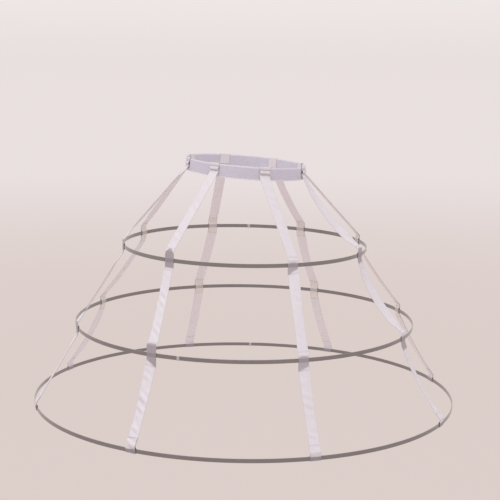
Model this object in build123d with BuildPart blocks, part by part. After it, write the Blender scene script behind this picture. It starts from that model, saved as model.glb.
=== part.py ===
from build123d import *
import os
from math import cos, degrees, radians, sin

# A cage crinoline: three spring steel hoops hang from an elastic waistband on eight satin tapes.
# Millimetres and degrees. The front faces -Y, the wearer's left is +X, and +Z is up.
# The origin is the middle of the waist opening. Angles run from the front towards the wearer's left.

# Waistband: an oval loop of elastic with its ends lapped and sewn at the right back.
# The band and each hoop are tipped by a small angle, highest towards the named side.
waist_width = 222.0
waist_depth = 187.0
waistband_height = 20.0
waistband_thickness = 1.4
waistband_tip_angle = 3.7
waistband_high_angle = -12.0
waistband_lap_length = 24.0
waistband_lap_angle = 201.0

# Hoops: flat strip standing on edge. Drops are measured from the middle of the waist opening.
strip_height = 6.0
strip_thickness = 1.2
strip_edge_radius = 0.4
strip_end_gap = 0.6
top_hoop_radius = 196.0
top_hoop_drop = 125.0
top_hoop_tip_angle = 0.8
top_hoop_high_angle = -43.0
top_join_angle = 251.0
middle_hoop_radius = 273.0
middle_hoop_drop = 249.0
middle_hoop_tip_angle = 0.3
middle_hoop_high_angle = -42.0
middle_join_angle = 53.0
bottom_hoop_radius = 340.0
bottom_hoop_drop = 374.0
bottom_hoop_tip_angle = 0.65
bottom_hoop_high_angle = 34.0
bottom_join_angle = 251.0

# Clips: a narrow band of tinned sheet crimped round the two ends of a hoop.
clip_length = 4.5
clip_wall = 0.4
clip_clearance = 0.1

# Tapes: satin ribbon, folded over the waistband at the top and round the bottom hoop at the hem.
tape_width = 16.0
tape_thickness = 0.5
tape_clearance = 0.25
tape_bend_radius = 2.5
fold_radius = 0.8
waist_sewn_depth = 11.0
waist_tuck_depth = 16.0
hem_upright_length = 9.0
hem_seam_length = 11.0
hem_press_share = 0.8

# Casings: short ribbons sewn inside each tape above and below a hoop, which runs between the two layers.
casing_width = 14.0
casing_thickness = 0.4
casing_length_above = 10.0
casing_length_below = 8.0
casing_seam_length = 6.0
casing_slack_gap = 0.6
casing_closing_length = 2.2
seam_margin_length = 1.5

# Where each tape crosses the waistband, the top hoop, the middle hoop and the bottom hoop.
tape_angles = {
    "centre_front": (0.0, -5.0, 0.0, 0.0),
    "left_front": (41.0, 38.5, 44.0, 45.5),
    "left_side": (88.0, 94.0, 91.0, 90.0),
    "left_back": (139.5, 138.0, 136.0, 135.0),
    "centre_back": (180.0, 180.0, 180.0, 180.0),
    "right_back": (221.0, 223.0, 225.0, 225.0),
    "right_side": (272.0, 270.0, 271.0, 271.0),
    "right_front": (319.0, 314.0, 317.0, 318.0),
}

# How far each tape hangs in from straight above the top, middle and bottom hoop, by that run's length.
tape_slack_shares = {
    "centre_front": (0.0, 0.01, 0.01),
    "left_front": (0.0, 0.015, 0.015),
    "left_side": (0.0, 0.01, 0.01),
    "left_back": (0.055, 0.065, 0.04),
    "centre_back": (0.0, 0.015, 0.015),
    "right_back": (0.03, 0.03, 0.02),
    "right_side": (0.0, 0.015, 0.015),
    "right_front": (0.0, 0.02, 0.035),
}
run_steps = 4

up = Axis.Z.direction


def outward(angle):
    return Vector(sin(radians(angle)), -cos(radians(angle)))


def tipped_plane(drop, tip, high_side):
    """Plane across the body at a drop below the origin, tipped to be highest on one side."""
    normal = up * cos(radians(tip)) - outward(high_side) * sin(radians(tip))
    return Plane(up * -drop, Axis.X.direction, normal)


def frame_on(plane, foot, way):
    """Upright plane that stands on a tipped one at foot: X along way, Y up, Z along the hoop or band."""
    away = plane.x_dir * way.X + plane.y_dir * way.Y
    return Plane(plane.from_local_coords(foot), away, away.cross(plane.z_dir))


def hoop_frame(plane, radius, angle):
    return frame_on(plane, outward(angle) * radius, outward(angle))


def waist_frame(angle):
    spot = outward(angle)
    foot = Vector(spot.X * waist_width / 2, spot.Y * waist_depth / 2)
    return frame_on(waist_plane, foot, Vector(spot.X / waist_width, spot.Y / waist_depth).normalized())


def heading(frame, here, there):
    """Direction within a frame from a point of that frame towards a point in space."""
    ahead = frame.to_local_coords(there) - here
    return Vector(ahead.X, ahead.Y).normalized()


def end_plane(frame, point, way):
    """Plane across a tape's end, at a point of a frame, facing the way that the tape goes."""
    return Plane(frame.from_local_coords(point), frame.z_dir, frame.x_dir * way.X + frame.y_dir * way.Y)


def belly_point(start, end, across, slack_share):
    """The point that a slack run between two points is drawn towards, on its inner side."""
    run = end - start
    return start + run / 2 + run.cross(across).normalized() * (run.length * slack_share * 2)


def run_planes(first, last, belly):
    """Planes across a tape from one end to the other of a run that hangs towards its belly."""
    planes = [first]
    for step in range(1, run_steps):
        share = step / run_steps
        entry = first.origin + (belly - first.origin) * share
        exit = belly + (last.origin - belly) * share
        across = first.x_dir + (last.x_dir - first.x_dir) * share
        planes.append(Plane(entry + (exit - entry) * share, across, exit - entry))
    return planes + [last]


def inner_side(way):
    """Direction from a tape that goes down along way to its inner side."""
    return Vector(way.Y, -way.X)


def inset(corner, way_in, way_out, depth):
    """The corner of a second layer that lies inside a tape's corner, depth away from it."""
    side_in = inner_side(way_in)
    side_out = inner_side(way_out)
    return corner + (side_in + side_out) * (depth / (1 + side_in.dot(side_out)))


waist_plane = tipped_plane(0, waistband_tip_angle, waistband_high_angle)
top_plane = tipped_plane(top_hoop_drop, top_hoop_tip_angle, top_hoop_high_angle)
middle_plane = tipped_plane(middle_hoop_drop, middle_hoop_tip_angle, middle_hoop_high_angle)
bottom_plane = tipped_plane(bottom_hoop_drop, bottom_hoop_tip_angle, bottom_hoop_high_angle)
hoops = {
    "top": (top_plane, top_hoop_radius, top_join_angle),
    "middle": (middle_plane, middle_hoop_radius, middle_join_angle),
    "bottom": (bottom_plane, bottom_hoop_radius, bottom_join_angle),
}

os.makedirs("parts", exist_ok=True)

# Waistband: the loop, and the second layer where its ends are lapped.
with BuildPart() as waistband:
    with BuildSketch(waist_plane):
        Ellipse((waist_width + waistband_thickness) / 2, (waist_depth + waistband_thickness) / 2)
        Ellipse(
            (waist_width - waistband_thickness) / 2,
            (waist_depth - waistband_thickness) / 2,
            mode=Mode.SUBTRACT,
        )
    extrude(amount=waistband_height / 2, both=True)
    with BuildSketch(waist_plane):
        Ellipse((waist_width - waistband_thickness) / 2, (waist_depth - waistband_thickness) / 2)
        Ellipse(
            (waist_width - waistband_thickness * 3) / 2,
            (waist_depth - waistband_thickness * 3) / 2,
            mode=Mode.SUBTRACT,
        )
        lap_spot = waist_plane.to_local_coords(waist_frame(waistband_lap_angle).origin)
        with Locations((lap_spot.X, lap_spot.Y)):
            Rectangle(
                waistband_lap_length,
                waistband_lap_length,
                rotation=waistband_lap_angle,
                mode=Mode.INTERSECT,
            )
    extrude(amount=waistband_height / 2, both=True)
waistband.part.label = "waistband"
export_step(waistband.part, "parts/waistband.step")

# Hoops and their clips
for hoop_name, (plane, radius, join_angle) in hoops.items():
    hoop_axis = Axis(plane.origin, plane.z_dir)
    end_gap_angle = degrees(strip_end_gap / radius)
    with BuildPart() as hoop:
        with BuildSketch(hoop_frame(plane, radius, join_angle + end_gap_angle / 2)):
            RectangleRounded(strip_thickness, strip_height, strip_edge_radius)
        revolve(axis=hoop_axis, revolution_arc=360 - end_gap_angle)
    hoop.part.label = f"hoop_{hoop_name}"
    export_step(hoop.part, f"parts/hoop_{hoop_name}.step")

    clip_angle = degrees(clip_length / radius)
    clip_play = clip_clearance * 2
    with BuildPart() as clip:
        with BuildSketch(hoop_frame(plane, radius, join_angle - clip_angle / 2)):
            RectangleRounded(
                strip_thickness + clip_play + clip_wall * 2,
                strip_height + clip_play + clip_wall * 2,
                strip_edge_radius + clip_clearance + clip_wall,
            )
            RectangleRounded(
                strip_thickness + clip_play,
                strip_height + clip_play,
                strip_edge_radius + clip_clearance,
                mode=Mode.SUBTRACT,
            )
        revolve(axis=hoop_axis, revolution_arc=clip_angle)
    clip.part.label = f"hoop_{hoop_name}_clip"
    export_step(clip.part, f"parts/hoop_{hoop_name}_clip.step")

# A flat tape across a curved band or hoop needs this much more room at its edges.
tightest_bend = waist_depth**2 / waist_width / 2
waist_bow = tape_width**2 / tightest_bend / 8
hoop_bow = tape_width**2 / top_hoop_radius / 8

# The fold over the waistband, in the waistband's frame.
outer_lap = waistband_thickness / 2 + tape_clearance + tape_thickness / 2
inner_lap = outer_lap + waist_bow
fold_top = waistband_height / 2 + tape_clearance + tape_thickness / 2
tuck_end = waistband_height / 2 - waist_tuck_depth
waist_leave = Vector(outer_lap, waistband_height / 2 - waist_sewn_depth)

# In a hoop's frame the tape's middle layer is X = 0 and the strip lies just inside it.
tape_standoff = strip_thickness / 2 + tape_clearance + tape_thickness / 2
behind_strip = tape_thickness / 2 + tape_clearance + strip_thickness + tape_clearance + hoop_bow
straight_down = Vector(0, -1)
hoop_meet = Vector(0, casing_length_above)
hoop_leave = Vector(0, -casing_length_below)
casing_stub = casing_seam_length + seam_margin_length

# Sewn to itself, the hem's end is pressed a little into the layer outside it.
hem_meet = Vector(0, hem_upright_length)
hem_stub = hem_seam_length + seam_margin_length
hem_layer = tape_thickness * hem_press_share
hem_inside = -behind_strip - tape_thickness / 2
hem_bottom = -strip_height / 2 - tape_clearance - tape_thickness / 2

# A casing lies on the tape's inner side and bulges inward round the strip.
layer_depth = (tape_thickness + casing_thickness) / 2
pocket_depth = -behind_strip - casing_thickness / 2
pocket_reach = strip_height / 2 + casing_slack_gap
pocket_end = pocket_reach + casing_closing_length

# Each run of a tape leaves one frame at a bend and meets the next frame at another.
leaves = (waist_leave, hoop_leave, hoop_leave)
meets = (hoop_meet, hoop_meet, hem_meet)
meet_stubs = (casing_stub, casing_stub, hem_stub)

for tape_name, (waist_angle, *hoop_angles) in tape_angles.items():
    frames = [waist_frame(waist_angle)]
    for angle, (plane, radius, join_angle) in zip(hoop_angles, hoops.values()):
        frames.append(hoop_frame(plane, radius + tape_standoff, angle))

    bellies = []
    ways_down = []
    ways_in = []
    for run, slack_share in enumerate(tape_slack_shares[tape_name]):
        run_start = frames[run].from_local_coords(leaves[run])
        run_end = frames[run + 1].from_local_coords(meets[run])
        belly = belly_point(run_start, run_end, frames[run + 1].z_dir, slack_share)
        bellies.append(belly)
        ways_down.append(heading(frames[run], leaves[run], belly))
        ways_in.append(-heading(frames[run + 1], meets[run], belly))

    with BuildPart() as tape:
        # The fold over the waistband
        with BuildSketch(frames[0]):
            with BuildLine():
                FilletPolyline(
                    (-inner_lap, tuck_end),
                    (-inner_lap, fold_top),
                    (outer_lap, fold_top),
                    waist_leave,
                    waist_leave + ways_down[0] * casing_stub,
                    radius=(fold_radius, fold_radius, tape_bend_radius),
                )
            trace(line_width=tape_thickness)
        extrude(amount=tape_width / 2, both=True)

        # The upright stretches outside the top and middle hoops
        for crossing in (1, 2):
            with BuildSketch(frames[crossing]):
                with BuildLine():
                    FilletPolyline(
                        hoop_meet - ways_in[crossing - 1] * casing_stub,
                        hoop_meet,
                        hoop_leave,
                        hoop_leave + ways_down[crossing] * casing_stub,
                        radius=tape_bend_radius,
                    )
                trace(line_width=tape_thickness)
            extrude(amount=tape_width / 2, both=True)

        # The hem, down outside the bottom hoop, round its strip and up the inside
        hem_corner = inset(hem_meet, ways_in[2], straight_down, hem_layer)
        with BuildSketch(frames[3]):
            with BuildLine():
                FilletPolyline(
                    hem_meet - ways_in[2] * hem_stub,
                    hem_meet,
                    (0, hem_bottom),
                    (hem_inside, hem_bottom),
                    (hem_inside, 0),
                    radius=(tape_bend_radius, fold_radius, fold_radius),
                )
            trace(line_width=tape_thickness)
            with BuildLine():
                FilletPolyline(
                    (hem_inside, 0),
                    (hem_inside, pocket_reach),
                    (-hem_layer, pocket_end),
                    hem_corner,
                    hem_corner - ways_in[2] * hem_seam_length,
                    radius=(fold_radius, fold_radius, tape_bend_radius - hem_layer),
                )
            trace(line_width=tape_thickness)
        extrude(amount=tape_width / 2, both=True)

        # The free runs between them
        for run, belly in enumerate(bellies):
            first = end_plane(frames[run], leaves[run] + ways_down[run] * casing_stub, ways_down[run])
            last = end_plane(frames[run + 1], meets[run] - ways_in[run] * meet_stubs[run], ways_in[run])
            for section in run_planes(first, last, belly):
                with BuildSketch(section):
                    Rectangle(tape_width, tape_thickness)
            loft()
    tape.part.label = f"tape_{tape_name}"
    export_step(tape.part, f"parts/tape_{tape_name}.step")

    for crossing, hoop_name in ((1, "top"), (2, "middle")):
        way_in = ways_in[crossing - 1]
        way_down = ways_down[crossing]
        upper_corner = inset(hoop_meet, way_in, straight_down, layer_depth)
        lower_corner = inset(hoop_leave, straight_down, way_down, layer_depth)
        with BuildPart() as casing:
            with BuildSketch(frames[crossing]):
                with BuildLine():
                    FilletPolyline(
                        upper_corner - way_in * casing_seam_length,
                        upper_corner,
                        (-layer_depth, pocket_end),
                        (pocket_depth, pocket_reach),
                        (pocket_depth, -pocket_reach),
                        (-layer_depth, -pocket_end),
                        lower_corner,
                        lower_corner + way_down * casing_seam_length,
                        radius=(
                            tape_bend_radius - layer_depth,
                            fold_radius,
                            fold_radius,
                            fold_radius,
                            fold_radius,
                            tape_bend_radius + layer_depth,
                        ),
                    )
                trace(line_width=casing_thickness)
            extrude(amount=casing_width / 2, both=True)
        casing.part.label = f"casing_{hoop_name}_{tape_name}"
        export_step(casing.part, f"parts/casing_{hoop_name}_{tape_name}.step")
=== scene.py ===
from functools import partial
from math import ceil, cos, degrees, exp, pi, radians, sin, tan
from typing import NamedTuple

import bpy
from mathutils import Matrix, Vector


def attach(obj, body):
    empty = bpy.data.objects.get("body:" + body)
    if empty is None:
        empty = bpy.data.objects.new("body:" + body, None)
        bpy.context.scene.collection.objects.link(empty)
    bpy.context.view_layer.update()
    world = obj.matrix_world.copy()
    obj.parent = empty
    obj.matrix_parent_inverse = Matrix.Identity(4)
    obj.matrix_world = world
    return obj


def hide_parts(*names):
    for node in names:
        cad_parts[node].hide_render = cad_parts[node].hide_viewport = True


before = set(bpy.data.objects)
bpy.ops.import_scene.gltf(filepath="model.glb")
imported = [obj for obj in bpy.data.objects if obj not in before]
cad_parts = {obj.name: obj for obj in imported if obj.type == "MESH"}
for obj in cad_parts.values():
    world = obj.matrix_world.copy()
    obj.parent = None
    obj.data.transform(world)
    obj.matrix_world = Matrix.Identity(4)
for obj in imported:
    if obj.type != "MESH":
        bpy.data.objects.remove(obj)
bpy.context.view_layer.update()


# Kinds of values

class HoopSize(NamedTuple):
    """A hoop's radius, its drop below the waist, its tip and the angle of its high side."""

    radius: float
    drop: float
    tip_angle: float
    high_angle: float


class Seam(NamedTuple):
    """A row of stitches: its point's number on the route, and how deep it draws the satin in."""

    at: int
    draw: float


class Zone(NamedTuple):
    """A casing's double layer, where painted shade goes: its hoop's point on the route, then its sizes in
    millimetres.
    """

    hoop_at: int
    above: float
    below: float
    dome: float
    slant: float


class Crease(NamedTuple):
    """The bend below a casing: its point on the route, how sharp it is, and its slant in millimetres."""

    at: int
    steepness: float
    slant: float


class Wave(NamedTuple):
    """A wave along a ribbon: its length, its slant over half the width, and its shift with the seed."""

    length: float
    slant: float
    shift: float

    def phase(self, along, share, seed):
        return 2 * pi * along / self.length + self.slant * share + self.shift * seed


# Sizes of the ribbons' routes, as the CAD model has them. Lengths are millimetres times mm.
mm = 0.001
up = Vector((0, 0, 1))

waist_width = 222 * mm
waist_depth = 187 * mm
waistband_height = 20 * mm
waistband_thickness = 1.4 * mm
waistband_tip_angle = 3.7
waistband_high_angle = -12
waistband_lap_length = 24 * mm
waistband_lap_angle = 201

strip_height = 6 * mm
strip_thickness = 1.2 * mm

hoop_sizes = {
    "top": HoopSize(196 * mm, 125 * mm, 0.8, -43),
    "middle": HoopSize(273 * mm, 249 * mm, 0.3, -42),
    "bottom": HoopSize(340 * mm, 374 * mm, 0.65, 34),
}

tape_width = 16 * mm
tape_thickness = 0.5 * mm
tape_clearance = 0.25 * mm
tape_bend_radius = 2.5 * mm
fold_radius = 0.8 * mm
waist_sewn_depth = 11 * mm
waist_tuck_depth = 16 * mm
hem_upright_length = 9 * mm
hem_seam_length = 11 * mm

casing_width = 14 * mm
casing_thickness = 0.4 * mm
casing_seam_length = 6 * mm
casing_slack_gap = 0.6 * mm
casing_closing_length = 2.2 * mm
seam_margin_length = 1.5 * mm

# A tape's upright stretch beside a hoop, in millimetres above and below it.
casing_reach = (10, 8)

# Where each tape crosses the waistband, the top hoop, the middle hoop and the bottom hoop.
tape_angles = {
    "centre_front": (0, -5, 0, 0),
    "left_front": (41, 38.5, 44, 45.5),
    "left_side": (88, 94, 91, 90),
    "left_back": (139.5, 138, 136, 135),
    "centre_back": (180, 180, 180, 180),
    "right_back": (221, 223, 225, 225),
    "right_side": (272, 270, 271, 271),
    "right_front": (319, 314, 317, 318),
}

# How far each tape hangs in from straight above the top, middle and bottom hoop, by that run's length.
tape_slack_shares = {
    "centre_front": (0, 0.01, 0.01),
    "left_front": (0, 0.015, 0.015),
    "left_side": (0, 0.01, 0.01),
    "left_back": (0.055, 0.065, 0.04),
    "centre_back": (0, 0.015, 0.015),
    "right_back": (0.03, 0.03, 0.02),
    "right_side": (0, 0.015, 0.015),
    "right_front": (0, 0.02, 0.035),
}

# Detail that only the visual model has.
# Each upright stretch beside the top and the middle hoop that isn't as in the CAD model.
upright_reaches = {
    "left_front": ((14, 10), (14, 11)),
    "left_side": ((7.6, 8), (7.8, 10)),
    "right_back": ((10, 8), (13, 12)),
    "right_front": ((12, 11), (10, 8)),
}

# How many degrees each run's outer face turns towards smaller angles round the body, high and low in it.
tape_turns = {
    "centre_front": ((22, 21), (20, 21), (9, 7)),
    "left_front": ((0, 0), (2, 4), (5, 7)),
    "left_side": ((0, 0), (-3, -3), (-5, -5)),
    "left_back": ((9, 32), (24, 24), (-2, -14)),
    "centre_back": ((0, 0), (0, 0), (0, 0)),
    "right_back": ((0, 0), (4, 4), (0, 0)),
    "right_side": ((3, 3), (0, 0), (-4, -4)),
    "right_front": ((3, 8), (3, 4), (8, 9)),
}
turn_settle = 0.2
ripple_settle = 0.12

# Height in millimetres of the soft waves in each tape's three runs.
calm_ripples = (0.1, 0.12, 0.15)
tape_ripples = {
    "left_front": (0.2, 0.6, 1.3),
    "left_side": (0.2, 0.3, 0.5),
}

# How far the outer layer of a hem puffs out, in millimetres.
calm_puff = 0.2
hem_puffs = {"left_front": 3.6, "left_side": 0.8}

# How much of the double layer's painted shade shows on a tape, where it isn't all of it.
zone_strengths = {"left_side": 0.75}

# How grey a tape's selvedges and rims are, where they aren't as on most of them: partly their denser weave
# and partly painted shade on tapes seen edge-on.
calm_edge = 0.45
edge_strengths = {"centre_front": 1.2, "centre_back": 1.2}

# How deep a row of stitches draws the satin in, and how much painted shade lies in its groove: at the
# waistband, at a casing and at a hem.
waist_draw = 1.0
casing_draw = 0.45
hem_draws = {"left_front": 1.0}

# Painted shade over the casing's double layer at the top and the middle hoop, for the pocket's shadow and
# the
# light that two layers hold back: millimetres above and below the hoop, and how far its upper edge is
# domed.
casing_zones = {
    "centre_front": ((11, 9, 2), (11, 9, 2)),
    "left_front": ((18, 12, 9), (17, 13, 1)),
    "left_side": ((4, 10, 2), (6, 13, 2)),
    "left_back": ((12, 12, 2), (5, 17, 2)),
    "centre_back": ((13, 13, 2), (12, 13, 2)),
    "right_back": ((13, 13, 2), (14, 13, 2)),
    "right_side": ((13, 13, 2), (13, 13, 2)),
    "right_front": ((15, 14, 2), (15, 13, 2)),
}
zone_edge = 2 * mm

# How far the crease below that layer, and the lower edge of its painted shade, slant across half the
# tape's width, in millimetres.
crease_slants = {
    "centre_front": (0, 0),
    "left_front": (0, -5),
    "left_side": (4.3, 3.3),
    "left_back": (1, 1),
    "centre_back": (0, -2),
    "right_back": (-2, 0),
    "right_side": (2, -1),
    "right_front": (0, 1),
}
run_fade = 90 * mm

# Ripples lean from one edge of a tape to the other, with a second wave across them. Swells in the middle
# of the width gather and thin out. A puffed hem is crumpled.
ripple_wave = Wave(27 * mm, 0.8, 1)
cross_wave = Wave(15.88235 * mm, -0.54, 2.3)
lean_wave = Wave(158.8235 * mm, 0.136, 1)
swell_wave = Wave(15 * mm, 2.6, 3)
gather_wave = Wave(53 * mm, 0, 1.3)
crumple_wave = Wave(10.5 * mm, 2.956793, 2)
cross_height = 0.6
ripple_middle = 0.2
ripple_edge = 0.3
swell_mean = 0.9
swell_range = 0.8
crumple_mean = 0.45
crumple_range = 0.35
seed_step = 1.9

sample_step = 1 * mm
arc_steps = 5
ribbon_columns = 16
sharp_angle = 50
edge_curl = 0.3 * mm
held_curl = 0.3
strip_blur = 0.8 * mm
# Painted shade on a hem: over its double layer near the hoop, and over the strip inside it.
hem_shade_share = 0.45
hem_strip_share = 1.5
layer_gap = 0.05 * mm

seam_groove_depth = 0.35 * mm
seam_groove_width = 0.7 * mm
groove_spread = 0.7
pucker_height = 0.22 * mm
pucker_reach = 5 * mm
pucker_pitch = 4.2 * mm
seam_inset = 1.2 * mm
waist_seam_shares = (0.2, 0.53)
waist_puff = 2.3 * mm
waist_pucker_share = 0.3

band_steps = 320
band_wave_height = 0.12 * mm
band_wave_length = 58 * mm
band_edge_round = 0.6
edge_round_power = 12
lap_seam_insets = (2 * mm, 21 * mm)


# Frames and routes

def outward(angle):
    return Vector((sin(radians(angle)), -cos(radians(angle)), 0))


class Ring:
    """Plane across the body at a drop below the origin, tipped to be highest on one side."""

    def __init__(self, drop, tip_angle, high_angle):
        self.origin = up * -drop
        self.normal = up * cos(radians(tip_angle)) - outward(high_angle) * sin(radians(tip_angle))
        east = Vector((1, 0, 0))
        self.x = (east - self.normal * east.dot(self.normal)).normalized()
        self.y = self.normal.cross(self.x)

    def place(self, spot):
        return self.origin + self.x * spot.x + self.y * spot.y

    def turn(self, way):
        return self.x * way.x + self.y * way.y


class Seat:
    """Upright frame on a ring: x away from the body, y up, and across along the hoop or band."""

    def __init__(self, ring, foot, way):
        self.foot = ring.place(foot)
        self.out = ring.turn(way)
        self.rise = ring.normal
        self.across = self.out.cross(self.rise)

    def point(self, spot):
        return self.foot + self.out * spot[0] + self.rise * spot[1]

    def heading(self, here, there):
        ahead = there - self.point(here)
        return Vector((ahead.dot(self.out), ahead.dot(self.rise))).normalized()


waist_ring = Ring(0, waistband_tip_angle, waistband_high_angle)
hoop_rings = {
    name: Ring(size.drop, size.tip_angle, size.high_angle) for name, size in hoop_sizes.items()
}


def waist_seat(angle):
    spot = outward(angle)
    foot = Vector((spot.x * waist_width / 2, spot.y * waist_depth / 2, 0))
    way = Vector((spot.x / waist_width, spot.y / waist_depth, 0)).normalized()
    return Seat(waist_ring, foot, way)


def hoop_seat(name, radius, angle):
    return Seat(hoop_rings[name], outward(angle) * radius, outward(angle))


def rounded(corners, radii):
    """Points along straight runs between corners, with an arc of the given radius at each inner one."""
    corners = [Vector(corner) for corner in corners]
    points = [corners[0]]
    for before, corner, after, radius in zip(corners, corners[1:], corners[2:], radii):
        way_in = (corner - before).normalized()
        way_out = (after - corner).normalized()
        reach = radius * tan(way_in.angle(way_out, 0) / 2)
        for step in range(arc_steps + 1):
            share = step / arc_steps
            entry = corner - way_in * reach * (1 - share)
            points.append(entry.lerp(corner + way_out * reach * share, share))
    points.append(corners[-1])
    return points


def filled(points):
    """The same points with more between those that are far apart."""
    full = [points[0]]
    for here, there in zip(points, points[1:]):
        count = max(1, ceil((there - here).length / sample_step))
        full += [here.lerp(there, step / count) for step in range(1, count + 1)]
    return full


def smooth_step(share):
    share = min(max(share, 0), 1)
    return share * share * (3 - 2 * share)


def inner_side(way):
    return Vector((way.y, -way.x))


def inset(corner, way_in, way_out, depth):
    """The corner of a second layer that lies inside a ribbon's corner, depth away from it."""
    side_in = inner_side(way_in)
    side_out = inner_side(way_out)
    return corner + (side_in + side_out) * (depth / (1 + side_in.dot(side_out)))


# Places of the ribbons' bends within the frames at the waistband and the hoops.
tightest_bend = waist_depth**2 / waist_width / 2
waist_bow = tape_width**2 / tightest_bend / 8
hoop_bow = tape_width**2 / hoop_sizes["top"].radius / 8
outer_lap = waistband_thickness / 2 + tape_clearance + tape_thickness / 2
inner_lap = outer_lap + waist_bow
fold_top = waistband_height / 2 + tape_clearance + tape_thickness / 2
tuck_end = waistband_height / 2 - waist_tuck_depth
waist_leave = Vector((outer_lap, waistband_height / 2 - waist_sewn_depth))
tape_standoff = strip_thickness / 2 + tape_clearance + tape_thickness / 2
behind_strip = tape_thickness / 2 + tape_clearance + strip_thickness + tape_clearance + hoop_bow
straight_down = Vector((0, -1))
casing_stub = casing_seam_length + seam_margin_length
casing_seam_reach = casing_seam_length - seam_inset
hem_stub = hem_seam_length + seam_margin_length
hem_seam_reach = hem_seam_length - seam_inset
hem_meet = Vector((0, hem_upright_length))
hem_layer = tape_thickness + layer_gap
hem_inside = -behind_strip - tape_thickness / 2
hem_bottom = -strip_height / 2 - tape_clearance - tape_thickness / 2
layer_depth = (tape_thickness + casing_thickness) / 2 + layer_gap
pocket_depth = -behind_strip - casing_thickness / 2
pocket_reach = strip_height / 2 + casing_slack_gap
pocket_end = pocket_reach + casing_closing_length


def strip_shade(height):
    """How much of a hoop's strip lies behind a ribbon at a height from the hoop's middle, shown on it as
    painted shade.
    """
    over = abs(height) - strip_height / 2
    return 1 - smooth_step(over / strip_blur + 0.5)


class Route:
    """The middle line of a ribbon, with the direction across it and what it does at each point."""

    def __init__(self, zone_strength=1.0, edge_strength=calm_edge):
        self.points = []
        self.across = []
        self.shade = []
        self.free = []
        self.turns = []
        self.ripples = []
        self.puffs = []
        self.seams = []
        self.zones = []
        self.creases = []
        self.zone_strength = zone_strength
        self.edge_strength = edge_strength

    def add(self, point, across, shade=0.0, free=0.0, turn=0.0, ripple=0.0, puff=0.0):
        self.points.append(point)
        self.across.append(across)
        self.shade.append(shade)
        self.free.append(free)
        self.turns.append(turn)
        self.ripples.append(ripple)
        self.puffs.append(puff)

    def add_flat(self, seat, corners, radii, strip=False):
        """A stretch within a frame, with painted shade where a hoop's strip lies behind it."""
        for spot in filled(rounded(corners, radii)):
            shade = strip_shade(spot.y) if strip else 0.0
            self.add(seat.point(spot), seat.across, shade)

    def add_hem(self, seat, corners, radii, puff):
        """The doubled end round the bottom hoop, whose outer layer puffs out, with painted shade over its
        double layer and darker over the strip.
        """
        spots = filled(rounded(corners, radii))
        heights = [spot.y for spot in spots]
        fold = heights.index(min(heights))
        for order, spot in enumerate(spots):
            # Painted shade: darker over the double layer near the hoop, darkest over the strip.
            double = hem_shade_share * (1 - smooth_step(abs(spot.y) / hem_upright_length))
            shade = max(strip_shade(spot.y) * hem_strip_share, double)
            swell = puff * sin(pi * order / fold) if order < fold else 0.0
            self.add(seat.point(spot), seat.across, shade, puff=swell)

    def add_run(self, start, end, belly, first, last, turns, ripple):
        """A free run that hangs towards its belly, with soft waves and a little turn in it."""
        upper, lower = turns
        count = ceil((end - start).length / sample_step)
        for step in range(1, count):
            share = step / count
            point = start.lerp(belly, share).lerp(belly.lerp(end, share), share)
            settle = smooth_step(share / turn_settle) * smooth_step((1 - share) / turn_settle)
            turn = settle * (upper + (lower - upper) * smooth_step(share))
            swing = sin(pi * share)
            loose = smooth_step(share / ripple_settle) * smooth_step((1 - share) / ripple_settle)
            across = first.lerp(last, share).normalized()
            self.add(point, across, free=swing, turn=radians(turn), ripple=ripple * loose)

    def nearest(self, point, before=None):
        """The number of the point nearest to a place, of those before another where one is given."""
        gaps = [(spot - point).length for spot in self.points[:before]]
        return gaps.index(min(gaps))

    def add_seam(self, point, draw=casing_draw, before=None):
        """A row of stitches at the route's point nearest to a place."""
        self.seams.append(Seam(self.nearest(point, before), draw))

    def lengths(self):
        along = [0.0]
        for here, there in zip(self.points, self.points[1:]):
            along.append(along[-1] + (there - here).length)
        return along


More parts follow.
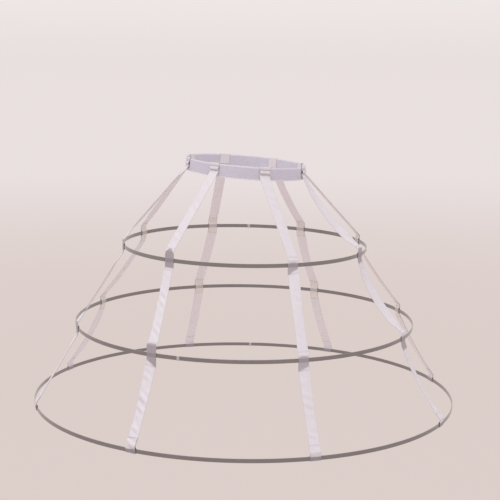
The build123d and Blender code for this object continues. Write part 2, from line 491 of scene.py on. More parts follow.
class TapePlan:
    """One tape's frames, and the way that each of its runs leaves and arrives."""

    def __init__(self, name):
        self.name = name
        waist_angle, *hoop_angles = tape_angles[name]
        self.seats = [waist_seat(waist_angle)]
        for hoop, angle in zip(hoop_sizes, hoop_angles):
            self.seats.append(hoop_seat(hoop, hoop_sizes[hoop].radius + tape_standoff, angle))
        reaches_above, reaches_below = zip(*upright_reaches.get(name, (casing_reach, casing_reach)))
        self.meets = [Vector((0, reach * mm)) for reach in reaches_above] + [hem_meet]
        self.leaves = [waist_leave] + [Vector((0, -reach * mm)) for reach in reaches_below]
        self.bellies = []
        self.ways_down = []
        self.ways_in = []
        for run, slack_share in enumerate(tape_slack_shares[name]):
            start = self.seats[run].point(self.leaves[run])
            end = self.seats[run + 1].point(self.meets[run])
            side = (end - start).cross(self.seats[run + 1].across).normalized()
            belly = start.lerp(end, 0.5) + side * ((end - start).length * slack_share * 2)
            self.bellies.append(belly)
            self.ways_down.append(self.seats[run].heading(self.leaves[run], belly))
            self.ways_in.append(-self.seats[run + 1].heading(self.meets[run], belly))

    def route(self):
        """The tape from its tucked end inside the waistband to its sewn end inside the hem."""
        zone_strength = zone_strengths.get(self.name, 1.0)
        edge_strength = edge_strengths.get(self.name, calm_edge)
        route = Route(zone_strength, edge_strength)
        self.lead_waist(route)
        self.lead_run(route, 0, casing_stub)
        self.lead_crossing(route, 1)
        self.lead_run(route, 1, casing_stub)
        self.lead_crossing(route, 2)
        self.lead_run(route, 2, hem_stub)
        self.lead_hem(route)
        self.sew(route)
        return route

    def lead_waist(self, route):
        """Up inside the waistband, over its top and down its outside to where the tape leaves it."""
        corners = [
            (-inner_lap, tuck_end),
            (-inner_lap, fold_top),
            (outer_lap, fold_top),
            waist_leave,
            waist_leave + self.ways_down[0] * casing_stub,
        ]
        route.add_flat(self.seats[0], corners, (fold_radius, fold_radius, tape_bend_radius))

    def lead_run(self, route, run, stub):
        """The free run down to a stub above the next hoop's upright stretch."""
        seat = self.seats[run + 1]
        end = seat.point(self.meets[run] - self.ways_in[run] * stub)
        turns = tape_turns[self.name][run]
        ripple = tape_ripples.get(self.name, calm_ripples)[run] * mm
        first = self.seats[run].across
        route.add_run(route.points[-1], end, self.bellies[run], first, seat.across, turns, ripple)

    def lead_crossing(self, route, crossing):
        """The upright stretch over a hoop, with the stubs that its casing is sewn to."""
        meet = self.meets[crossing - 1]
        leave = self.leaves[crossing]
        corners = [
            meet - self.ways_in[crossing - 1] * casing_stub,
            meet,
            leave,
            leave + self.ways_down[crossing] * casing_stub,
        ]
        bends = (tape_bend_radius, tape_bend_radius)
        route.add_flat(self.seats[crossing], corners, bends, strip=True)

    def lead_hem(self, route):
        """Down over the bottom hoop, round it and back up inside."""
        way_in = self.ways_in[-1]
        hem_corner = inset(hem_meet, way_in, straight_down, hem_layer)
        corners = [
            hem_meet - way_in * hem_stub,
            hem_meet,
            (0, hem_bottom),
            (hem_inside, hem_bottom),
            (hem_inside, pocket_reach),
            (-hem_layer, pocket_end),
            hem_corner,
            hem_corner - way_in * hem_seam_length,
        ]
        inner_bend = tape_bend_radius - hem_layer
        radii = (tape_bend_radius, fold_radius, fold_radius, fold_radius, fold_radius, inner_bend)
        route.add_hem(self.seats[-1], corners, radii, hem_puffs.get(self.name, calm_puff) * mm)

    def sew(self, route):
        """The rows of stitches, and where the casings' layers lie behind the tape."""
        for share in waist_seam_shares:
            height = waistband_height * (0.5 - share)
            route.add_seam(self.seats[0].point((outer_lap, height)), waist_draw)
        for crossing in (1, 2):
            seat = self.seats[crossing]
            meet = self.meets[crossing - 1]
            leave = self.leaves[crossing]
            way_down = self.ways_down[crossing]
            route.add_seam(seat.point(meet - self.ways_in[crossing - 1] * casing_seam_reach))
            route.add_seam(seat.point(leave + way_down * casing_seam_reach))
            layer = casing_zones[self.name][crossing - 1]
            slant = crease_slants[self.name][crossing - 1]
            route.zones.append(Zone(route.nearest(seat.point((0, 0))), *layer, slant))
            steepness = sin(straight_down.angle(way_down))
            route.creases.append(Crease(route.nearest(seat.point(leave)), steepness, slant))
        seat = self.seats[-1]
        hem_fold = route.nearest(seat.point((0, hem_bottom)))
        hem_draw = hem_draws.get(self.name, casing_draw)
        hem_seam = seat.point(hem_meet - self.ways_in[-1] * hem_seam_reach)
        route.add_seam(hem_seam, hem_draw, before=hem_fold)

    def casing_route(self, crossing):
        """The short ribbon inside the tape where it crosses a hoop."""
        way_in = self.ways_in[crossing - 1]
        way_down = self.ways_down[crossing]
        upper_corner = inset(self.meets[crossing - 1], way_in, straight_down, layer_depth)
        lower_corner = inset(self.leaves[crossing], straight_down, way_down, layer_depth)
        corners = [
            upper_corner - way_in * casing_seam_length,
            upper_corner,
            (-layer_depth, pocket_end),
            (pocket_depth, pocket_reach),
            (pocket_depth, -pocket_reach),
            (-layer_depth, -pocket_end),
            lower_corner,
            lower_corner + way_down * casing_seam_length,
        ]
        upper_bend = tape_bend_radius - layer_depth
        lower_bend = tape_bend_radius + layer_depth
        radii = (upper_bend, fold_radius, fold_radius, fold_radius, fold_radius, lower_bend)
        route = Route()
        seat = self.seats[crossing]
        route.add_flat(seat, corners, radii, strip=True)
        route.add_seam(seat.point(upper_corner - way_in * casing_seam_reach))
        route.add_seam(seat.point(lower_corner + way_down * casing_seam_reach))
        steepness = sin(straight_down.angle(way_down))
        slant = crease_slants[self.name][crossing - 1] * casing_width / tape_width
        route.creases.append(Crease(route.nearest(seat.point(lower_corner)), steepness, slant))
        return route


# Ribbons as meshes

def ribbon_sides(route, outer=1):
    """The direction across a ribbon and out of its outer face, at each point of its route."""
    sides = []
    last = len(route.points) - 1
    for i, (across, turn) in enumerate(zip(route.across, route.turns)):
        along = route.points[min(i + 1, last)] - route.points[max(i - 1, 0)]
        normal = across.cross(along).normalized() * outer
        turned = across * cos(turn) - normal * sin(turn)
        sides.append((turned, normal * cos(turn) + across * sin(turn)))
    return sides


def tape_lift(route, along, seed, i, share):
    """How far a tape's face stands off its middle line, at a share of its half width from -1 to 1."""
    here = along[i]
    lift = -edge_curl * share * share * (held_curl + route.free[i])
    ripple = sin(ripple_wave.phase(here, share, seed))
    ripple += cross_height * sin(cross_wave.phase(here, share, seed))
    lean = cos(lean_wave.phase(here, share, seed))
    lift += route.ripples[i] * ripple * (ripple_middle + ripple_edge * share * lean)
    swell = sin(swell_wave.phase(here, share, seed))
    gather = sin(gather_wave.phase(here, share, seed))
    lift += route.ripples[i] * (1 - share * share) * swell * (swell_mean + swell_range * gather)
    crumple = cos(crumple_wave.phase(here, share, seed))
    lift += route.puffs[i] * (crumple_mean + crumple_range * crumple)
    for seam in route.seams:
        lift += seam_lift(abs(here - along[seam.at]), seam.draw, share, seed)
    upper, lower = (along[seam.at] for seam in route.seams[:2])
    bulge = max(0, 1 - ((here - (upper + lower) / 2) / (lower - upper) * 2) ** 2)
    lift += waist_puff * bulge * (1 + waist_pucker_share * cos(pi * share * (1 + seed % 1) + seed))
    return lift + sum(crease_lift(crease, along, i, share) for crease in route.creases)


def seam_lift(off, draw, share, seed):
    """The groove of a row of stitches, with the puckers beside it."""
    groove = seam_groove_depth * (1 + draw) / 2 * exp(-((off / seam_groove_width) ** 2))
    pucker = cos(2 * pi * share * tape_width / 2 / pucker_pitch + seed)
    beside = exp(-off / pucker_reach) * (1 - exp(-off / seam_groove_width))
    return pucker_height * pucker * beside - groove


def crease_lift(crease, along, i, share):
    """What slants the crease below a casing, fading out down the run under it."""
    past = along[i] - along[crease.at]
    late = crease.slant * mm * share
    fade = 1 - smooth_step(past / run_fade)
    return crease.steepness * fade * (max(0, past - late) - max(0, past))


def zone_shade(route, along, i, share):
    """How much of a casing's double layer lies behind a ribbon's face, as painted shade on it."""
    shade = 0.0
    for zone in route.zones:
        past = along[i] - along[zone.hoop_at]
        top = past + (zone.above - zone.dome * share * share) * mm
        bottom = (zone.below + zone.slant * share) * mm - past
        shade = max(shade, smooth_step(min(top, bottom) / zone_edge + 0.5))
    return shade * route.zone_strength


def seam_shade(route, along, i):
    """How much painted shade lies in the groove of a row of stitches."""
    shade = 0.0
    for seam in route.seams:
        width = seam_groove_width * (1 + groove_spread * seam.draw)
        shade = max(shade, seam.draw * exp(-(((along[i] - along[seam.at]) / width) ** 2)))
    return shade


def sheet_faces(rows):
    """The quads of a closed sheet's two layers, and those of its rims."""
    columns = ribbon_columns + 1
    layer = rows * columns
    faces, rims = [], []
    for i in range(rows - 1):
        for j in range(ribbon_columns):
            a = i * columns + j
            faces.append((a, a + 1, a + columns + 1, a + columns))
            faces.append((layer + a, layer + a + columns, layer + a + columns + 1, layer + a + 1))
        for j in (0, ribbon_columns):
            a = i * columns + j
            rim = (a, a + columns, layer + a + columns, layer + a)
            rims.append(rim if j == 0 else rim[::-1])
    for i in (0, rows - 1):
        for j in range(ribbon_columns):
            a = i * columns + j
            rim = (a, layer + a, layer + a + 1, a + 1)
            rims.append(rim if i == 0 else rim[::-1])
    return faces, rims


def sheet_mesh(name, route, width, thickness, lift, material, outer=1, shown=1, edge_round=0.0):
    """A closed thin sheet along a route, with its width and length in metres as its texture coordinates.

    The painted shade of what lies behind the sheet goes only on its shown face: 1 is the outer one and -1
    the inner one.
    """
    along = route.lengths()
    sides = ribbon_sides(route, outer)
    verts, places = [], []
    shades = {"strip_shade": [], "zone_shade": [], "seam_shade": [], "edge_shade": []}
    for face in (1, -1):
        seen = float(face == shown)
        for i, (across, normal) in enumerate(sides):
            groove = seam_shade(route, along, i)
            for j in range(ribbon_columns + 1):
                share = 2 * j / ribbon_columns - 1
                half = thickness / 2 * (1 - edge_round * share**edge_round_power)
                stand = lift(i, share) + face * half
                verts.append(route.points[i] + across * (share * width / 2) + normal * stand)
                places.append((share * width / 2, along[i]))
                shades["strip_shade"].append(route.shade[i] * seen)
                shades["zone_shade"].append(zone_shade(route, along, i, share) * seen)
                shades["seam_shade"].append(groove)
                at_edge = j in (0, ribbon_columns)
                shades["edge_shade"].append(route.edge_strength if at_edge else 0.0)
    faces, rims = sheet_faces(len(route.points))
    mesh = bpy.data.meshes.new(name)
    mesh.from_pydata([tuple(vert) for vert in verts], [], faces + rims)
    for label, values in shades.items():
        mesh.attributes.new(label, "FLOAT", "POINT").data.foreach_set("value", values)
    rim_values = [0.0] * len(faces) + [route.edge_strength] * len(rims)
    mesh.attributes.new("rim_shade", "FLOAT", "FACE").data.foreach_set("value", rim_values)
    coordinates = mesh.uv_layers.new(name="UVMap")
    for loop in mesh.loops:
        coordinates.data[loop.index].uv = places[loop.vertex_index]
    mesh.polygons.foreach_set("use_smooth", [True] * len(mesh.polygons))
    mesh.set_sharp_from_angle(angle=radians(sharp_angle))
    return new_piece(name, mesh, material)


def new_piece(name, mesh, material):
    mesh.materials.append(material)
    piece = bpy.data.objects.new(name, mesh)
    bpy.context.scene.collection.objects.link(piece)
    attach(piece, "root")
    return piece


# Stitches

stitch_length = 2 * mm
stitch_gap = 0.6 * mm
stitch_sides = 6
stitch_sink = 1.2
stitch_tip = 0.05
thread_radius = 0.17 * mm

# A stitch's thickness along it, both by their halves.
stitch_profile = (
    (-1.0, 0.0),
    (-0.86, 0.55),
    (-0.55, 0.92),
    (0.0, 1.0),
    (0.55, 0.92),
    (0.86, 0.55),
    (1.0, 0.0),
)


class Thread:
    """Stitches gathered into one mesh."""

    def __init__(self):
        self.verts = []
        self.faces = []

    def stitch(self, middle, way, normal, length):
        side = way.cross(normal)
        start = len(self.verts)
        for reach, swell in stitch_profile:
            sink = thread_radius * stitch_sink * reach * reach
            radius = thread_radius * max(swell, stitch_tip)
            for k in range(stitch_sides):
                turn = 2 * pi * k / stitch_sides
                ring = (side * cos(turn) + normal * sin(turn)) * radius
                self.verts.append(tuple(middle + way * (reach * length / 2) + ring - normal * sink))
        for r in range(len(stitch_profile) - 1):
            for k in range(stitch_sides):
                a = start + r * stitch_sides + k
                b = start + r * stitch_sides + (k + 1) % stitch_sides
                self.faces.append((a, b, b + stitch_sides, a + stitch_sides))

    def row(self, middle, way, normal, width):
        pitch = stitch_length + stitch_gap
        count = int(width / pitch)
        for k in range(count):
            self.stitch(middle + way * ((k - (count - 1) / 2) * pitch), way, normal, stitch_length)

    def piece(self, name, material):
        mesh = bpy.data.meshes.new(name)
        mesh.from_pydata(self.verts, [], self.faces)
        mesh.polygons.foreach_set("use_smooth", [True] * len(mesh.polygons))
        return new_piece(name, mesh, material)


# Materials

# Places of the factor, the two colours and the result among a colour mix node's sockets.
colour_mix_inputs = (0, 6, 7)
colour_mix_output = 2

# What a wave texture's phase gains in one unit of length at scale 1.
wave_turn = 20


class Nodes:
    """A material's node tree, with one Principled shader."""

    def __init__(self, name):
        self.material = bpy.data.materials.new(name)
        self.material.use_nodes = True
        self.tree = self.material.node_tree
        self.shader = self.tree.nodes["Principled BSDF"]

    def new(self, kind, **settings):
        node = self.tree.nodes.new(kind)
        for key, value in settings.items():
            setattr(node, key, value)
        return node

    def link(self, source, target):
        self.tree.links.new(source, target)

    def drive(self, socket, source):
        """Feed one of the shader's sockets."""
        self.link(source, self.shader.inputs[socket])

    def set(self, **values):
        for key, value in values.items():
            self.shader.inputs[key.replace("_", " ")].default_value = value

    def math(self, operation, first, second):
        node = self.new("ShaderNodeMath", operation=operation)
        for socket, value in zip(node.inputs, (first, second)):
            if isinstance(value, (int, float)):
                socket.default_value = value
            else:
                self.link(value, socket)
        return node.outputs[0]

    def mix(self, factor, first, second, blend="MIX"):
        node = self.new("ShaderNodeMix", data_type="RGBA", blend_type=blend)
        for place, value in zip(colour_mix_inputs, (factor, first, second)):
            socket = node.inputs[place]
            if isinstance(value, (int, float)):
                socket.default_value = value
            elif isinstance(value, tuple):
                socket.default_value = (*value, 1)
            else:
                self.link(value, socket)
        return node.outputs[colour_mix_output]

    def noise(self, scale, detail=3, coordinates="Object", stretch=(1, 1, 1)):
        place = self.new("ShaderNodeTexCoord").outputs[coordinates]
        mapping = self.new("ShaderNodeMapping")
        mapping.inputs["Scale"].default_value = stretch
        self.link(place, mapping.inputs["Vector"])
        node = self.new("ShaderNodeTexNoise")
        node.inputs["Scale"].default_value = scale
        node.inputs["Detail"].default_value = detail
        self.link(mapping.outputs[0], node.inputs["Vector"])
        return node.outputs[0]

    def waves(self, pitch, direction):
        """Threads of a given pitch, as a wave from 0 to 1 across them."""
        place = self.new("ShaderNodeTexCoord").outputs["UV"]
        node = self.new("ShaderNodeTexWave", wave_type="BANDS", bands_direction=direction)
        node.inputs["Scale"].default_value = 2 * pi / (wave_turn * pitch)
        self.link(place, node.inputs["Vector"])
        return node.outputs["Fac"]

    def ramp(self, value, low, high):
        node = self.new("ShaderNodeMapRange")
        for key, level in (("From Min", 0), ("From Max", 1), ("To Min", low), ("To Max", high)):
            node.inputs[key].default_value = level
        self.link(value, node.inputs["Value"])
        return node.outputs[0]

    def attribute(self, name):
        return self.new("ShaderNodeAttribute", attribute_name=name).outputs["Fac"]

    def bump(self, height, distance, strength):
        node = self.new("ShaderNodeBump")
        node.inputs["Distance"].default_value = distance
        node.inputs["Strength"].default_value = strength
        self.link(height, node.inputs["Height"])
        self.drive("Normal", node.outputs[0])


satin_white = (0.90, 0.845, 0.87)
satin_shade = (0.80, 0.74, 0.765)
casing_light = (0.88, 0.81, 0.76)
casing_dark = (0.80, 0.73, 0.68)
# Painted shade over a casing's double layer.
double_layer_shade = (0.46, 0.40, 0.42)
# Painted shade where a hoop's strip lies behind the satin, and in the grooves of seams.
painted_shade_colour = (0.28, 0.25, 0.27)
# Greyer selvedges and rims: partly their denser weave, partly painted shade on tapes seen edge-on.
selvedge_and_shade_tint = (0.42, 0.365, 0.355)
# How much painted shade the strip behind puts on a tape and on a casing.
tape_show_share = 0.6
casing_show_share = 0.5
# How much painted shade lies in the grooves of the seams.
groove_shade_share = 0.42
selvedge_share = 0.45
rim_share = 0.85
blotch_scale = 70
blotch_range = (0.1, 0.9)
streak_scale = 1100
streak_stretch = (1, 0.05, 1)
streak_range = (-0.7, 1.0)
crease_scale = 320
crease_stretch = (1, 0.3, 1)
weft_pitch = 0.42 * mm
warp_pitch = 0.672 * mm
warp_share = 0.5
weave_share = 0.08
satin_bump = 0.08 * mm
satin_roughness = (0.34, 0.5)


def satin(name, light, dark, show_share, double=False):
    """Ribbon with painted shade where a hoop's strip lies behind it, in the seams' grooves and, where it
    is doubled, over the layer behind it; its selvedges and rims are greyer, partly for their denser weave
    and partly as painted shade.
    """
    nodes = Nodes(name)
    blotch = nodes.noise(blotch_scale, detail=4)
    colour = nodes.mix(nodes.ramp(blotch, *blotch_range), light, dark)
    streak = nodes.noise(streak_scale, detail=2, coordinates="UV", stretch=streak_stretch)
    colour = nodes.mix(nodes.ramp(streak, *streak_range), colour, dark)
    if double:
        # Painted shade over a casing's double layer.
        colour = nodes.mix(nodes.attribute("zone_shade"), colour, double_layer_shade)
    # Painted shade where the hoop's strip lies behind the satin.
    behind = nodes.math("MULTIPLY", nodes.attribute("strip_shade"), show_share)
    colour = nodes.mix(behind, colour, painted_shade_colour)
    # Painted shade in the grooves of the seams.
    groove = nodes.math("MULTIPLY", nodes.attribute("seam_shade"), groove_shade_share)
    colour = nodes.mix(groove, colour, painted_shade_colour)
    # Greyer selvedges and rims: partly their denser weave, partly painted shade on tapes seen edge-on.
    selvedge = nodes.math("MULTIPLY", nodes.attribute("edge_shade"), selvedge_share)
    rim = nodes.math("MULTIPLY", nodes.attribute("rim_shade"), rim_share)
    colour = nodes.mix(nodes.math("MAXIMUM", selvedge, rim), colour, selvedge_and_shade_tint)
    nodes.drive("Base Color", colour)
    weft = nodes.waves(weft_pitch, "Y")
    warp = nodes.waves(warp_pitch, "X")
    weave = nodes.math("ADD", weft, nodes.math("MULTIPLY", warp, warp_share))
    crease = nodes.noise(crease_scale, detail=2, coordinates="UV", stretch=crease_stretch)
    height = nodes.math("ADD", nodes.math("MULTIPLY", weave, weave_share), crease)
    nodes.bump(height, satin_bump, strength=0.6)
    nodes.drive("Roughness", nodes.ramp(crease, *satin_roughness))
    nodes.set(Sheen_Weight=0.1, Sheen_Roughness=0.4, Specular_IOR_Level=0.4)
    return nodes.material


elastic_light = (0.77, 0.735, 0.83)
elastic_dark = (0.68, 0.65, 0.745)
# Painted shade in the hollows of the knit.
knit_hollow_shade = (0.50, 0.46, 0.54)
elastic_selvedge = (0.95, 0.93, 0.97)
hollow_shade_share = 0.18
elastic_selvedge_share = 0.7
selvedge_width = 1.6 * mm
selvedge_blur = 0.4 * mm
rib_pitch = 1.1 * mm
rib_share = 0.5
knit_pitch = 2.6 * mm
fuzz_scale = 900
grime_scale = 45
grime_range = (0.0, 0.6)
elastic_bump = 0.35 * mm


def elastic():
    """Knitted elastic with slanting ribs, painted shade in the knit's hollows, and a paler, smooth edge.
    """
    nodes = Nodes("knitted_elastic")
    rib = nodes.waves(rib_pitch, "X")
    knit = nodes.waves(knit_pitch, "DIAGONAL")
    fuzz = nodes.noise(fuzz_scale, detail=4)
    texture = nodes.math("ADD", nodes.math("MULTIPLY", rib, rib_share), knit)
    nodes.bump(nodes.math("ADD", texture, fuzz), elastic_bump, strength=0.8)
    grime = nodes.noise(grime_scale, detail=4)
    colour = nodes.mix(nodes.ramp(grime, *grime_range), elastic_light, elastic_dark)
    # Painted shade in the hollows of the knit.
    colour = nodes.mix(nodes.math("MULTIPLY", knit, hollow_shade_share), colour, knit_hollow_shade)
    place = nodes.new("ShaderNodeSeparateXYZ")
    nodes.link(nodes.new("ShaderNodeTexCoord").outputs["UV"], place.inputs[0])
    edge = nodes.new("ShaderNodeMapRange")
    edge.inputs["From Min"].default_value = waistband_height / 2 - selvedge_width - selvedge_blur
    edge.inputs["From Max"].default_value = waistband_height / 2 - selvedge_width
    nodes.link(nodes.math("ABSOLUTE", place.outputs[0], 0), edge.inputs["Value"])
    at_edge = nodes.math("MULTIPLY", edge.outputs[0], elastic_selvedge_share)
    nodes.drive("Base Color", nodes.mix(at_edge, colour, elastic_selvedge))
    nodes.set(Roughness=0.8, Sheen_Weight=0.3, Specular_IOR_Level=0.3)
    return nodes.material


fine_bump = 0.1 * mm

steel_light = (0.28, 0.255, 0.25)
steel_dark = (0.20, 0.18, 0.178)
steel_grain = (0.34, 0.315, 0.31)
steel_roughness = (0.24, 0.42)
drift_scale = 25
drift_range = (0.1, 0.9)
grain_scale = 700
grain_range = (0.0, 0.35)


def hoop_steel():
    nodes = Nodes("coated_spring_steel")
    drift = nodes.noise(drift_scale, detail=3)
    grain = nodes.noise(grain_scale, detail=5)
    colour = nodes.mix(nodes.ramp(drift, *drift_range), steel_light, steel_dark)
    nodes.drive("Base Color", nodes.mix(nodes.ramp(grain, *grain_range), colour, steel_grain))
    nodes.drive("Roughness", nodes.ramp(grain, *steel_roughness))
    nodes.bump(grain, fine_bump, strength=0.2)
    nodes.set(Metallic=0.7, Coat_Weight=0.8, Coat_Roughness=0.2, Coat_IOR=1.6)
    return nodes.material


clip_light = (0.72, 0.70, 0.69)
clip_dark = (0.5, 0.48, 0.47)
clip_roughness = (0.28, 0.5)
scuff_scale = 1200
scuff_range = (0.2, 0.8)


def clip_metal():
    nodes = Nodes("tinned_clip")
    scuff = nodes.noise(scuff_scale, detail=6)
    nodes.drive("Base Color", nodes.mix(nodes.ramp(scuff, *scuff_range), clip_light, clip_dark))
    nodes.drive("Roughness", nodes.ramp(scuff, *clip_roughness))
    nodes.bump(scuff, fine_bump, strength=0.3)
    nodes.set(Metallic=0.85)
    return nodes.material


thread_light = (0.88, 0.84, 0.87)
thread_dark = (0.74, 0.70, 0.73)
twist_scale = 2500


def sewing_thread():
    nodes = Nodes("sewing_thread")
    twist = nodes.noise(twist_scale, detail=2)
    nodes.drive("Base Color", nodes.mix(twist, thread_light, thread_dark))
    nodes.bump(twist, fine_bump, strength=0.5)
    nodes.set(Roughness=0.6, Sheen_Weight=0.3)
    return nodes.material


tape_satin = satin("tape_satin", satin_white, satin_shade, tape_show_share, double=True)
casing_satin = satin("casing_ribbon", casing_light, casing_dark, casing_show_share)
elastic_material = elastic()
thread_material = sewing_thread()


# Tapes, casings and their stitches

for order, name in enumerate(tape_angles):
    plan = TapePlan(name)
    thread = Thread()

    route = plan.route()
    along = route.lengths()
    lift = partial(tape_lift, route, along, order * seed_step)
    tape = sheet_mesh(f"tape_{name}_ribbon", route, tape_width, tape_thickness, lift, tape_satin)
    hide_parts(f"tape_{name}")
    sides = ribbon_sides(route)
    for seam in route.seams:
        across, normal = sides[seam.at]
        face = tape_thickness / 2 + lift(seam.at, 0)
        thread.row(route.points[seam.at] + normal * face, across, normal, tape_width - seam_inset)

    for crossing, hoop_name in ((1, "top"), (2, "middle")):
        casing_route = plan.casing_route(crossing)
        casing_along = casing_route.lengths()
        label = f"casing_{hoop_name}_{name}"
        casing = sheet_mesh(
            f"{label}_ribbon",
            casing_route,
            casing_width,
            casing_thickness,
            partial(crease_lift, casing_route.creases[0], casing_along),
            casing_satin,
            shown=-1,
        )
        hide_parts(label)
        sides = ribbon_sides(casing_route)
        for seam in casing_route.seams:
            across, normal = sides[seam.at]
            middle = casing_route.points[seam.at] - normal * (casing_thickness / 2)
            thread.row(middle, across, -normal, casing_width - seam_inset)

    stitches = thread.piece(f"stitches_{name}", thread_material)


# Waistband: one strip of elastic with its ends lapped

def waistband_route():
    """Once round the waist and on over the start, sliding in behind it along the lap."""
    route = Route()
    mean_radius = (waist_width + waist_depth) / 4
    lap = degrees(waistband_lap_length / mean_radius)
    slide = lap / 2
    start = waistband_lap_angle - lap / 2
    slide_start = waistband_lap_angle + 360 - lap / 2 - slide
    for step in range(band_steps + 1):
        angle = start + (360 + lap) * step / band_steps
        seat = waist_seat(angle)
        behind = smooth_step((angle - slide_start) / slide)
        route.add(seat.point((-waistband_thickness * behind, 0)), seat.rise)
    return route


band_route = waistband_route()
band_along = band_route.lengths()


def band_lift(i, share):
    """Slight waves along the stretched elastic, mostly at its edges."""
    return band_wave_height * share * sin(2 * pi * band_along[i] / band_wave_length)


waistband = sheet_mesh(
    "waistband_elastic",
    band_route,
    waistband_height,
    waistband_thickness,
    band_lift,
    elastic_material,
    outer=-1,
    edge_round=band_edge_round,
)
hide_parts("waistband")

lap_thread = Thread()
band_sides = ribbon_sides(band_route, outer=-1)
for lap_inset in lap_seam_insets:
    at = next(i for i, reach in enumerate(band_along) if reach >= lap_inset)
    rise, normal = band_sides[at]
    face = waistband_thickness / 2 + thread_radius / 2
    lap_thread.row(band_route.points[at] + normal * face, rise, normal, waistband_height - seam_inset)
lap_stitches = lap_thread.piece("stitches_waistband_lap", thread_material)


# Hoops and clips keep their CAD shapes

steel = hoop_steel()
tin = clip_metal()
for hoop_name in hoop_sizes:
    for node, material in ((f"hoop_{hoop_name}", steel), (f"hoop_{hoop_name}_clip", tin)):
        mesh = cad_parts[node].data
        mesh.materials.clear()
        mesh.materials.append(material)


# Floor, light and camera

floor_drop = 0.95
floor_reach = 60
floor_bounce = (0.90, 0.80, 0.76)
floor_near = (0.735, 0.635, 0.60)
floor_far = (0.838, 0.766, 0.757)
floor_lit_share = 0.2
fade_start = 2.5
fade_end = 10
backdrop_low = (0.81, 0.742, 0.734)
backdrop_high = (0.885, 0.837, 0.832)
backdrop_rise = 0.08
ambient_colour = (0.97, 0.96, 1.0)
ambient_strength = 0.73


def sight_rays(nodes):
    """1 for what is seen directly or in a shiny surface, and 0 for light on its way to a surface."""
    path = nodes.new("ShaderNodeLightPath")
    return nodes.math("MAXIMUM", path.outputs["Is Camera Ray"], path.outputs["Is Glossy Ray"])


def add_floor():
    """A pale paper floor, seen mostly in its own even colour, with the shadow still on it."""
    quarters = ((-1, -1), (1, -1), (1, 1), (-1, 1))
    corners = [(x * floor_reach, y * floor_reach, -floor_drop) for x, y in quarters]
    mesh = bpy.data.meshes.new("floor")
    mesh.from_pydata(corners, [], [(0, 1, 2, 3)])
    nodes = Nodes("floor_paper")
    place = nodes.new("ShaderNodeTexCoord").outputs["Object"]
    distance = nodes.new("ShaderNodeVectorMath", operation="LENGTH")
    nodes.link(place, distance.inputs[0])
    fade = nodes.new("ShaderNodeMapRange", interpolation_type="SMOOTHSTEP")
    fade.inputs["From Min"].default_value = fade_start
    fade.inputs["From Max"].default_value = fade_end
    nodes.link(distance.outputs["Value"], fade.inputs["Value"])
    tint = nodes.mix(fade.outputs[0], floor_near, floor_far)
    lit = nodes.mix(1, tint, (floor_lit_share,) * 3, blend="MULTIPLY")
    even = nodes.mix(1, tint, (1 - floor_lit_share,) * 3, blend="MULTIPLY")
    sight = sight_rays(nodes)
    nodes.drive("Base Color", nodes.mix(sight, floor_bounce, lit))
    nodes.drive("Emission Color", even)
    nodes.drive("Emission Strength", sight)
    nodes.set(Roughness=0.9, Specular_IOR_Level=0.0)
    mesh.materials.append(nodes.material)
    floor = bpy.data.objects.new("floor", mesh)
    bpy.context.scene.collection.objects.link(floor)


class WorldNodes(Nodes):
    """The world's node tree, with the same helpers."""

    def __init__(self, name):
        self.world = bpy.data.worlds.new(name)
        self.world.use_nodes = True
        self.tree = self.world.node_tree


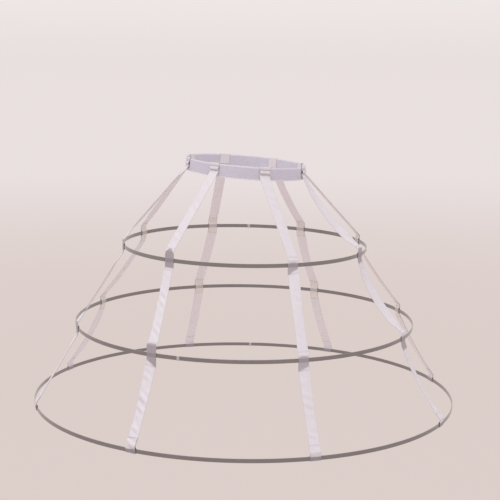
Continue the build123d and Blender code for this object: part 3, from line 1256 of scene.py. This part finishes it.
def add_world():
    """Even light from all round, with a pale backdrop for what the camera and the metal see."""
    nodes = WorldNodes("studio")
    direction = nodes.new("ShaderNodeSeparateXYZ")
    nodes.link(nodes.new("ShaderNodeTexCoord").outputs["Generated"], direction.inputs[0])
    rise = nodes.new("ShaderNodeMapRange")
    rise.inputs["From Max"].default_value = backdrop_rise
    nodes.link(direction.outputs["Z"], rise.inputs["Value"])
    seen = nodes.new("ShaderNodeBackground")
    nodes.link(nodes.mix(rise.outputs[0], backdrop_low, backdrop_high), seen.inputs["Color"])
    lit = nodes.tree.nodes["Background"]
    lit.inputs["Color"].default_value = (*ambient_colour, 1)
    lit.inputs["Strength"].default_value = ambient_strength
    mix = nodes.new("ShaderNodeMixShader")
    nodes.link(sight_rays(nodes), mix.inputs[0])
    nodes.link(lit.outputs[0], mix.inputs[1])
    nodes.link(seen.outputs[0], mix.inputs[2])
    nodes.link(mix.outputs[0], nodes.tree.nodes["World Output"].inputs["Surface"])
    bpy.context.scene.world = nodes.world


def add_softbox(name, power, width, bearing, reach, height):
    """A wide square lamp at a bearing and reach around the body and a height above it.

    It faces the middle hoop.
    """
    lamp = bpy.data.lights.new(name, "AREA")
    lamp.energy = power
    lamp.size = width
    softbox = bpy.data.objects.new(name, lamp)
    softbox.location = outward(bearing) * reach + up * height
    facing = softbox.location + up * hoop_sizes["middle"].drop
    softbox.rotation_euler = facing.to_track_quat("Z", "Y").to_euler()
    bpy.context.scene.collection.objects.link(softbox)


def add_sun(name, strength, softness, bearing, height):
    """A wide soft light from a bearing around the body and a height in degrees."""
    lamp = bpy.data.lights.new(name, "SUN")
    lamp.energy = strength
    lamp.angle = radians(softness)
    sun = bpy.data.objects.new(name, lamp)
    source = outward(bearing) * cos(radians(height)) + up * sin(radians(height))
    sun.rotation_euler = source.to_track_quat("Z", "Y").to_euler()
    bpy.context.scene.collection.objects.link(sun)


camera_bearing = 73
camera_distance = 1.8538
camera_height = 0.1731
camera_yaw = 0.2614
camera_pitch = 9.444
camera_roll = 0.4539
focal_share = 2.317
sensor_width = 36


def add_camera():
    lens = bpy.data.cameras.new("camera")
    lens.sensor_width = sensor_width
    lens.lens = sensor_width * focal_share
    camera = bpy.data.objects.new("camera", lens)
    turn = Matrix.Rotation(radians(camera_bearing - camera_yaw), 4, "Z")
    tilt = Matrix.Rotation(radians(90 - camera_pitch), 4, "X")
    roll = Matrix.Rotation(radians(camera_roll), 4, "Z")
    place = outward(camera_bearing) * camera_distance + up * camera_height
    camera.matrix_world = Matrix.Translation(place) @ turn @ tilt @ roll
    bpy.context.scene.collection.objects.link(camera)
    bpy.context.scene.camera = camera


add_floor()
add_world()
add_sun("key", strength=0.5, softness=60, bearing=25, height=70)
add_softbox("softbox", power=3, width=1.0, bearing=30, reach=0.3, height=1.3)
add_camera()
bpy.context.scene.view_settings.view_transform = "Standard"
